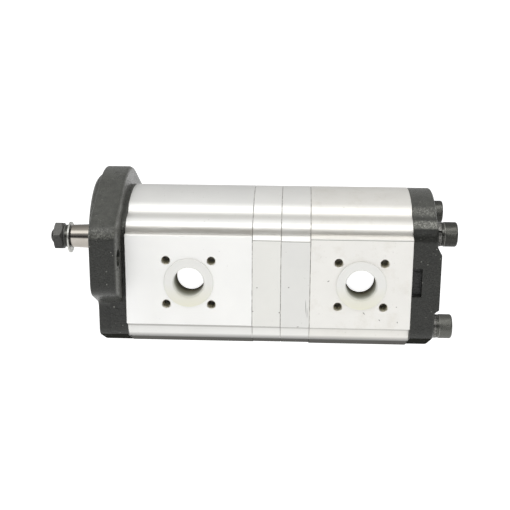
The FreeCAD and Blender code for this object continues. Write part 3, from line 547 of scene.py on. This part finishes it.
def lock_washer_steel():
    """Worn black oxide with bare steel showing through."""
    m = Mat("lock_washer_steel")
    soft, edge = m.rounded(0.00025)
    n = m.noise(1000, 4.0, 0.6)
    base = m.ramp(n, [(0.35, (0.07, 0.069, 0.064)), (0.55, (0.16, 0.158, 0.148)), (0.75, (0.34, 0.335, 0.31))])
    base = m.mix(m.math("MULTIPLY", edge, 0.6), base, (0.36, 0.355, 0.33))
    m.set(color=base, metal=0.9, rough=m.maprange(n, 0.3, 0.7, 0.22, 0.40), normal=m.bump(n, 0.3, 0.00005, soft))
    return m.m


def nut_steel():
    """Blackened nut with painted light and shade: pale on the upper flats, dark below."""
    m = Mat("nut_steel")
    soft, edge = m.rounded(0.00030)
    n = m.noise(900, 4.0, 0.6)
    geo = m.node("ShaderNodeNewGeometry")
    up = m.maprange(m.separate(geo.outputs["Normal"])[2], -0.15, 0.55, 0.0, 1.0)
    base = m.mix(up, (0.028, 0.028, 0.026), (0.125, 0.124, 0.115))
    base = m.mix(m.maprange(n, 0.42, 0.66, 0.0, 0.5), base, (0.075, 0.074, 0.068))
    worn = m.math("MULTIPLY", edge, m.maprange(m.noise(1100, 3.0, 0.6), 0.42, 0.66, 0.0, 0.5))
    base = m.mix(worn, base, (0.24, 0.235, 0.22))
    m.set(color=base, metal=0.25, rough=m.maprange(n, 0.3, 0.7, 0.34, 0.50), normal=m.bump(n, 0.35, 0.00006, soft))
    return m.m


def bush_bronze():
    m = Mat("bush_bronze")
    n = m.noise(500, 3.0)
    m.set(color=m.ramp(n, [(0.3, (0.38, 0.25, 0.13)), (0.7, (0.52, 0.36, 0.20))]), metal=0.9,
          rough=m.maprange(n, 0.3, 0.7, 0.3, 0.42))
    return m.m


def seal_rubber():
    m = Mat("seal_rubber")
    n = m.noise(600, 3.0)
    m.set(color=m.ramp(n, [(0.3, (0.012, 0.012, 0.012)), (0.7, (0.028, 0.027, 0.026))]), metal=0.0,
          rough=m.maprange(n, 0.3, 0.7, 0.5, 0.7), normal=m.bump(n, 0.2, 0.00005))
    return m.m


def backup_plastic():
    m = Mat("backup_plastic")
    n = m.noise(400, 2.0)
    m.set(color=m.ramp(n, [(0.3, (0.66, 0.64, 0.55)), (0.7, (0.74, 0.72, 0.64))]), metal=0.0, rough=0.5)
    return m.m


def plug_plastic():
    """White plastic; painted shade darkens the thin wall inside the cup with depth."""
    m = Mat("plug_plastic")
    xyz = m.separate()
    ay = m.math("ABSOLUTE", xyz[1])
    depth = m.maprange(ay, 0.0452, 0.0286, 0.0, 1.0)
    n = m.noise(130, 2.0)
    depth = m.math("ADD", depth, m.maprange(n, 0.3, 0.7, -0.04, 0.04), clamp=True)
    # the painted shade lies only on the wall that faces the port's axis; the skirt outside stays white
    geo = m.node("ShaderNodeNewGeometry")
    nor = m.separate(geo.outputs["Normal"])
    px = m.math("ADD", m.math("MULTIPLY", m.maprange(xyz[0], 0.110, 0.111, 0.0, 1.0), 0.1072), 0.0583)
    across = m.math("MULTIPLY", m.math("SUBTRACT", xyz[0], px), nor[0])
    upward = m.math("MULTIPLY", m.math("ADD", xyz[2], 0.0175), nor[2])
    inward = m.maprange(m.math("ADD", across, upward), -0.0012, -0.0048, 0.0, 1.0)
    side_wall = m.math("ADD", m.math("MULTIPLY", m.math("ABSOLUTE", nor[0]), 0.30), 1.0)
    depth = m.math("MULTIPLY", depth, m.math("MULTIPLY", inward, side_wall), clamp=True)
    # painted shade: the wall colour runs from white at the lip to dark brown deep in the cup
    wall = m.ramp(depth, [(0.0, (0.80, 0.80, 0.73)), (0.10, (0.68, 0.68, 0.61)), (0.22, (0.50, 0.50, 0.435)),
                          (0.33, (0.38, 0.38, 0.315)), (0.45, (0.27, 0.27, 0.215)), (0.56, (0.215, 0.213, 0.160)),
                          (0.67, (0.175, 0.170, 0.115)), (0.78, (0.120, 0.115, 0.070)),
                          (0.89, (0.072, 0.067, 0.036)), (1.0, (0.044, 0.040, 0.018))])
    # the lower part of the rim is a little yellow
    z = m.maprange(xyz[2], -0.0175, -0.033, 0.0, 1.0)
    rim = m.mix(z, (0.800, 0.797, 0.766), (0.785, 0.772, 0.640))
    on_rim = m.maprange(ay, 0.0447, 0.0451, 0.0, 1.0)
    m.set(spec=0.45)
    spec = m.math("MULTIPLY", m.math("SUBTRACT", 1.0, m.math("MULTIPLY", m.math("MULTIPLY", inward, m.maprange(depth, 0.05, 0.35, 0.0, 1.0)), 0.85)), 0.45)
    m.set(color=m.mix(on_rim, wall, rim), metal=0.0, rough=m.maprange(n, 0.3, 0.7, 0.34, 0.42), spec=spec,
          normal=m.bump(n, 0.05, 0.0001))
    return m.m


def glowing_plug_bottom():
    m = Mat("glowing_plug_bottom")
    n = m.noise(60, 2.0)
    # painted light: the bottom of the plug glows, so it shows white deep inside the cup
    m.set(color=m.ramp(n, [(0.3, (0.93, 0.93, 0.93)), (0.7, (0.97, 0.97, 0.97))]), metal=0.0, rough=0.5,
          emit=(1.0, 1.0, 1.0), emit_strength=0.85)
    return m.m


MATS = {
    "cast_iron_black": cast_iron_black(),
    "housing_aluminium": aluminium("housing_aluminium", (0.812, 0.809, 0.784), 0, JOINTS[:2], pad_tint=(0.92, 0.918, 0.895)),
    "plate_aluminium": aluminium("plate_aluminium", (0.845, 0.84, 0.81), 3, JOINTS[1:3], (10.2,),
                                 ((101.0, -20.0, 0.5, 0.4, 0.0), (115.1, -36.0, 0.5, 0.6, 0.0), (98.4, -35.5, 0.5, 0.4, 0.0)),
                                 pad_tint=(0.80, 0.795, 0.757), grime_and_shade_k=0.8),
    "block_aluminium": block_aluminium(),
    "black_screw_steel": black_screw_steel(),
    "washer_steel": washer_steel(),
    "ground_steel": ground_steel(),
    "bush_bronze": bush_bronze(),
    "seal_rubber": seal_rubber(),
    "backup_plastic": backup_plastic(),
    "plug_plastic": plug_plastic(),
}
NODE_MATS = {
    "middle_plate_rear": aluminium("plate_aluminium_rear", (0.82, 0.815, 0.785), 5, JOINTS[2:4], (9.8,),
                                   ((120.7, -19.5, 0.55, 0.4, 0.0), (131.5, -32.0, 0.18, 5.5, 0.02), (132.4, -36.0, 0.16, 4.0, 0.03),
                                    (126.7, -45.2, 0.9, 0.25, 0.1)), pad_tint=(0.755, 0.752, 0.725), grime_and_shade_k=0.7),
    "rear_housing": aluminium("housing_aluminium_rear", (0.825, 0.81, 0.765), 8, JOINTS[3:], (11.3,),
                              ((145.2, -15.0, 0.9, 0.35, 0.5), (167.7, -35.5, 0.35, 1.1, 0.7), (177.5, -39.8, 0.35, 0.8, 0.6),
                               (187.7, -31.0, 0.5, 0.3, 0.2), (188.7, -41.0, 0.35, 0.7, 0.3), (173.7, -14.0, 0.3, 0.3, 0.0)), 0.22,
                              pad_tint=(0.85, 0.838, 0.80), grime_and_shade_k=0.55, grime_and_shade_z=0.0140),
    "shaft_nut": nut_steel(),
    "tie_screw_washers": lock_washer_steel(),
}
SLOT_OF = {}
for part in frame["record"]["subparts"]:
    SLOT_OF[part["node"]] = part["material_slot"]
for name, ob in NODES.items():
    for s in ob.material_slots:
        s.material = NODE_MATS.get(name, MATS[SLOT_OF[name]])


def dress(ob, mat, body, slot, *nodes):
    ob.data.materials.clear()
    for one in (mat if isinstance(mat, (list, tuple)) else [mat]):
        ob.data.materials.append(one)
    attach(ob, body)
    if nodes:
        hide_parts(*nodes)
    return ob


# ---------------------------------------------------------------------------
# tie screws with knurled heads and hexagon sockets
# ---------------------------------------------------------------------------
def hex_radius(t, af, corner_deg=30.0):
    a = (math.degrees(t) - corner_deg) % 60.0 - 30.0
    return af / 2.0 / math.cos(math.radians(a))


def tie_screw(name, cy, cz, turn):
    teeth, per = 66, 4
    n = teeth * per
    ang = [2 * math.pi * k / n for k in range(n)]

    def ring(x, fn):
        return [(x, cy + fn(t) * math.cos(t + turn), cz + fn(t) * math.sin(t + turn)) for t in ang]

    def knurl(depth):
        def fn(t):
            ph = (t * teeth / (2 * math.pi)) % 1.0
            return 7.68 - depth * (abs(ph - 0.5) * 2.0) ** 0.8
        return fn

    h = X_HEAD
    tip = X_COVER - 13.3
    rings = [[(tip, cy, cz)], ring(tip, lambda t: 4.1), ring(tip + 0.8, lambda t: 4.92), ring(tip + 35.8, lambda t: 4.95),
             ring(h - 0.01, lambda t: 4.98), ring(h, lambda t: 6.9), ring(h + 0.25, lambda t: 7.42),
             ring(h + 1.10, lambda t: 7.48), ring(h + 1.22, lambda t: 7.22), ring(h + 1.52, lambda t: 7.22), ring(h + 1.68, lambda t: 7.62)]
    for dx, d in ((1.80, 0.05), (2.0, 0.11), (8.7, 0.11), (8.9, 0.06)):
        rings.append(ring(h + dx, knurl(d)))
    for dx, r in ((9.05, 7.60), (9.3, 7.52), (9.55, 7.34), (9.78, 7.07), (9.92, 6.77), (9.98, 6.42), (9.98, 4.95)):
        rings.append(ring(h + dx, lambda t, r=r: r))
    rings.append(ring(h + 9.7, lambda t: hex_radius(t, 8.1) * 1.0))
    rings.append(ring(h + 9.2, lambda t: hex_radius(t, 8.0)))
    rings.append(ring(h + 5.2, lambda t: hex_radius(t, 8.0)))
    rings.append(ring(h + 4.9, lambda t: 3.6))
    rings.append([(h + 3.9, cy, cz)])
    d = MeshData()
    d.ring_loft(rings)
    return d.make(name, 30.0)


for i, ((cy, cz), turn) in enumerate(zip(SCREWS, (0.35, 0.9, 1.7, 0.1))):
    dress(tie_screw("tie_screw_%d" % (i + 1), cy, cz, turn), MATS["black_screw_steel"], "housing", "black_screw_steel", "tie_screws")


# ---------------------------------------------------------------------------
# thread on the shaft end, cut into a slimmer copy of the shaft's stub
# ---------------------------------------------------------------------------
X_STUB, X_TIP, R_ROOT = -24.1, -37.8, 4.40
core_mesh = NODES["drive_shaft_gear"].data.copy()
for vert in core_mesh.vertices:
    rr = math.hypot(vert.co.y, vert.co.z) / MM
    if vert.co.x / MM < X_STUB + 0.01 and R_ROOT < rr < 5.05:
        vert.co.y *= R_ROOT / rr
        vert.co.z *= R_ROOT / rr
core = bpy.data.objects.new("drive_shaft_core", core_mesh)
scene.collection.objects.link(core)
dress(core, MATS["ground_steel"], "drive_train", "ground_steel", "drive_shaft_gear")


def stud_thread(name, x0, x1, r_major, r_minor, pitch):
    n, per = 48, 10
    d = MeshData()
    total = int((x1 - x0) / pitch * per)
    grid = []
    for i in range(total + 1):
        ring = []
        lead = min(1.0, i / (0.8 * per), (total - i) / (0.8 * per))
        for k in range(n):
            t = 2 * math.pi * k / n
            ph = (i / per + k / n) % 1.0
            crest = max(0.0, min(1.0, 1.12 - abs(ph - 0.5) * 2.0 * 1.25))
            r = r_minor + (r_major - r_minor) * crest * lead
            ring.append((x0 + i * pitch / per, r * math.cos(t), r * math.sin(t)))
        grid.append(ring)
    inner = [[(x, (r_minor - 0.25) * math.cos(2 * math.pi * k / n), (r_minor - 0.25) * math.sin(2 * math.pi * k / n)) for k in range(n)]
             for x in (x1, x0)]
    d.ring_loft(grid + inner, closed_profile=True)
    return d.make(name, 50.0)


dress(stud_thread("shaft_thread", X_TIP + 0.9, X_STUB - 0.05, 4.98, R_ROOT - 0.02, 1.5), MATS["ground_steel"], "drive_train", "ground_steel")


# ---------------------------------------------------------------------------
# transport plugs, turned about the port's axis
# ---------------------------------------------------------------------------
def plug(name, side, px, r_flange, r_out, r_in, depth):
    def s(d):
        return side * (SIDE - d)
    pts = [(depth - 1.2, 0, 0), (depth - 1.2, r_in - 0.35, 0.3), (depth - 1.7, r_in, 0), (1.4, r_in, 0.0), (0.3, r_in + 0.05, 1.2),
           (-1.0, r_in + 0.55, 0.8), (-1.2, r_in + 1.9, 1.2), (-1.2, r_flange - 0.05, 0.42), (-0.1, r_flange, 0.1), (0.0, r_flange - 0.3, 0),
           (0.0, r_out, 0), (depth - 0.8, r_out, 0.3), (depth, r_out - 0.8, 0.3), (depth, 0, 0)]
    prof = round_profile(pts, 5)
    d = MeshData()
    d.lathe([(s(a), r) for a, r in prof], 160, "y", px, 0, MID_Z)
    return d.make(name, 40.0)


for nm, side, px, rf, ro, ri, dp in (("inlet_plug_front", -1, PORT_X[0], 15.5, 10.3, 9.4, 18.0),
                                     ("inlet_plug_rear", -1, PORT_X[1], 15.5, 10.3, 9.4, 18.0),
                                     ("outlet_plug_front", 1, PORT_X[0], 12.6, 7.8, 6.9, 14.0),
                                     ("outlet_plug_rear", 1, PORT_X[1], 12.6, 7.8, 6.9, 14.0)):
    ob = plug(nm + "_cap", side, px, rf, ro, ri, dp)
    dress(ob, [MATS["plug_plastic"], glowing_plug_bottom() if nm == "inlet_plug_front" else bpy.data.materials["glowing_plug_bottom"]],
          nm + "_body", "plug_plastic", nm)
    inner = SIDE - (dp - 1.2)
    for p in ob.data.polygons:
        c = p.center
        rr = math.hypot(c.x / MM - px, c.z / MM - MID_Z)
        if abs(abs(c.y) / MM - inner) < 0.06 and rr < ri - 0.2:
            p.material_index = 1


# ---------------------------------------------------------------------------
# thread turns in the tapped port holes
# ---------------------------------------------------------------------------
def thread_liner(name, side, px, pz, r_major, r_minor, pitch, turns):
    n = 40
    per = 8
    d = MeshData()
    inner = []
    total = int(turns * per)
    y0 = 0.42
    grid = []
    for i in range(total + 1):
        ring = []
        for k in range(n):
            t = 2 * math.pi * k / n
            a = i / per                                   # turns along the axis
            ph = (a + k / n) % 1.0
            lead = min(1.0, i / (0.5 * per))
            r = r_major - (r_major - r_minor) * max(0.0, 1.0 - abs(ph - 0.5) * 2.0 * 1.15) * lead
            ring.append((px + r * math.cos(t), side * (SIDE - y0 - a * pitch), pz + r * math.sin(t)))
        grid.append(ring)
    outer = []
    for yy in (y0 + turns * pitch, y0):
        outer.append([(px + (r_major + 0.015) * math.cos(2 * math.pi * k / n), side * (SIDE - yy),
                       pz + (r_major + 0.015) * math.sin(2 * math.pi * k / n)) for k in range(n)])
    d.ring_loft(grid + outer, closed_profile=True)
    return d.make(name, 50.0)


tapped_hole = thread_aluminium()
for tag, side, pitch in (("inlet", -1, INLET_PITCH), ("outlet", 1, OUTLET_PITCH)):
    for pi, px in enumerate(PORT_X):
        k = 0
        for sx in (-1, 1):
            for sz in (-1, 1):
                k += 1
                ob = thread_liner("%s_thread_%s_%d" % (tag, "front" if pi == 0 else "rear", k), side,
                                  px + sx * pitch / 2, MID_Z + sz * pitch / 2, 2.64, 2.38, 1.0, 8)
                dress(ob, tapped_hole, "housing", "housing_aluminium")


# ---------------------------------------------------------------------------
# stage: floor, world, lamps, camera
# ---------------------------------------------------------------------------
def floor():
    d = MeshData()
    z = BOTTOM - 0.05
    rings = []
    for r in (600, 2000, 8000, 60000):
        rings.append([(91 + r * math.cos(2 * math.pi * k / 64), r * math.sin(2 * math.pi * k / 64), z) for k in range(64)])
    d.ring_loft([[(91, 0, z)]] + rings, cap_end=False)
    ob = d.make("floor")
    m = Mat("floor_white")
    m.set(color=(0.12, 0.12, 0.12), rough=0.9, spec=0.1, emit=(1.0, 1.0, 1.0), emit_strength=1.14)
    ob.data.materials.append(m.m)
    return ob


floor()

world = bpy.data.worlds.new("studio")
scene.world = world
world.use_nodes = True
wt = world.node_tree
wt.nodes.clear()
wo = wt.nodes.new("ShaderNodeOutputWorld")
bg = wt.nodes.new("ShaderNodeBackground")
tc = wt.nodes.new("ShaderNodeTexCoord")
sep = wt.nodes.new("ShaderNodeSeparateXYZ")
wt.links.new(tc.outputs["Generated"], sep.inputs[0])


def sky(stops):
    rp = wt.nodes.new("ShaderNodeValToRGB")
    wt.links.new(sep.outputs[2], rp.inputs[0])
    el = rp.color_ramp.elements
    el[0].position, el[0].color = 0.0, stops[0][1] + (1,)
    el[1].position, el[1].color = 1.0, stops[-1][1] + (1,)
    for p, c in stops[1:-1]:
        el.new(p).color = c + (1,)
    return rp.outputs[0]


def grey(v):
    return (v, v, v)


# towards -Y a dark room below a large soft box, towards +Y a pale wall
front_sky = sky([(0.0, grey(0.05)), (0.10, grey(0.055)), (0.24, grey(0.08)), (0.41, grey(0.16)), (0.56, grey(0.40)), (0.68, grey(0.80)),
                 (0.78, grey(1.0)), (0.90, grey(1.0)), (0.97, grey(0.76)), (1.0, grey(0.60))])
back_sky = sky([(0.0, grey(0.24)), (0.30, grey(0.29)), (0.50, grey(0.34)), (0.75, grey(0.39)), (0.88, grey(0.46)), (0.96, grey(0.56)),
                (1.0, grey(0.62))])
side = wt.nodes.new("ShaderNodeMapRange")
side.inputs[1].default_value = -0.28
side.inputs[2].default_value = 0.28
wt.links.new(sep.outputs[1], side.inputs[0])
wmix = wt.nodes.new("ShaderNodeMix")
wmix.data_type = "RGBA"
wt.links.new(side.outputs[0], wmix.inputs[0])
wt.links.new(front_sky, wmix.inputs[6])
wt.links.new(back_sky, wmix.inputs[7])
wt.links.new(wmix.outputs[2], bg.inputs[0])
bg.inputs[1].default_value = 1.76
# the room itself is seen as plain white, only its light and reflections are graded
plain = wt.nodes.new("ShaderNodeBackground")
plain.inputs[0].default_value = (1.0, 1.0, 1.0, 1.0)
plain.inputs[1].default_value = 1.14
seen = wt.nodes.new("ShaderNodeLightPath")
pick_bg = wt.nodes.new("ShaderNodeMixShader")
wt.links.new(seen.outputs["Is Camera Ray"], pick_bg.inputs[0])
wt.links.new(bg.outputs[0], pick_bg.inputs[1])
wt.links.new(plain.outputs[0], pick_bg.inputs[2])
wt.links.new(pick_bg.outputs[0], wo.inputs[0])


def softbox(name, loc, target, sx, sy, power):
    li = bpy.data.lights.new(name, "AREA")
    li.shape = "RECTANGLE"
    li.size, li.size_y = sx, sy
    li.energy = power
    ob = bpy.data.objects.new(name, li)
    scene.collection.objects.link(ob)
    ob.location = loc
    ob.rotation_mode = "QUATERNION"
    ob.rotation_quaternion = (Vector(target) - Vector(loc)).to_track_quat("-Z", "Y")
    return ob


softbox("key", (0.05, -0.75, 1.0), (0.09, 0, -0.02), 1.2, 0.6, 1.8)

cam = bpy.data.cameras.new("camera")
cam_ob = bpy.data.objects.new("camera", cam)
scene.collection.objects.link(cam_ob)
cam.sensor_fit = "HORIZONTAL"
cam.sensor_width = 36.0
cam.lens = 67.65
cam.clip_start = 0.01
cam.clip_end = 200.0
cx, cy_, cz_ = Vector((0.99898, 0.04512, 0.00495)), Vector((-0.0166, 0.26156, 0.96505)), Vector((0.04225, -0.96413, 0.26203))
rot = Matrix((cx, cy_, cz_)).transposed()
cam_ob.matrix_world = Matrix.Translation((0.124625, -0.614486, 0.155810)) @ rot.to_4x4()
scene.camera = cam_ob
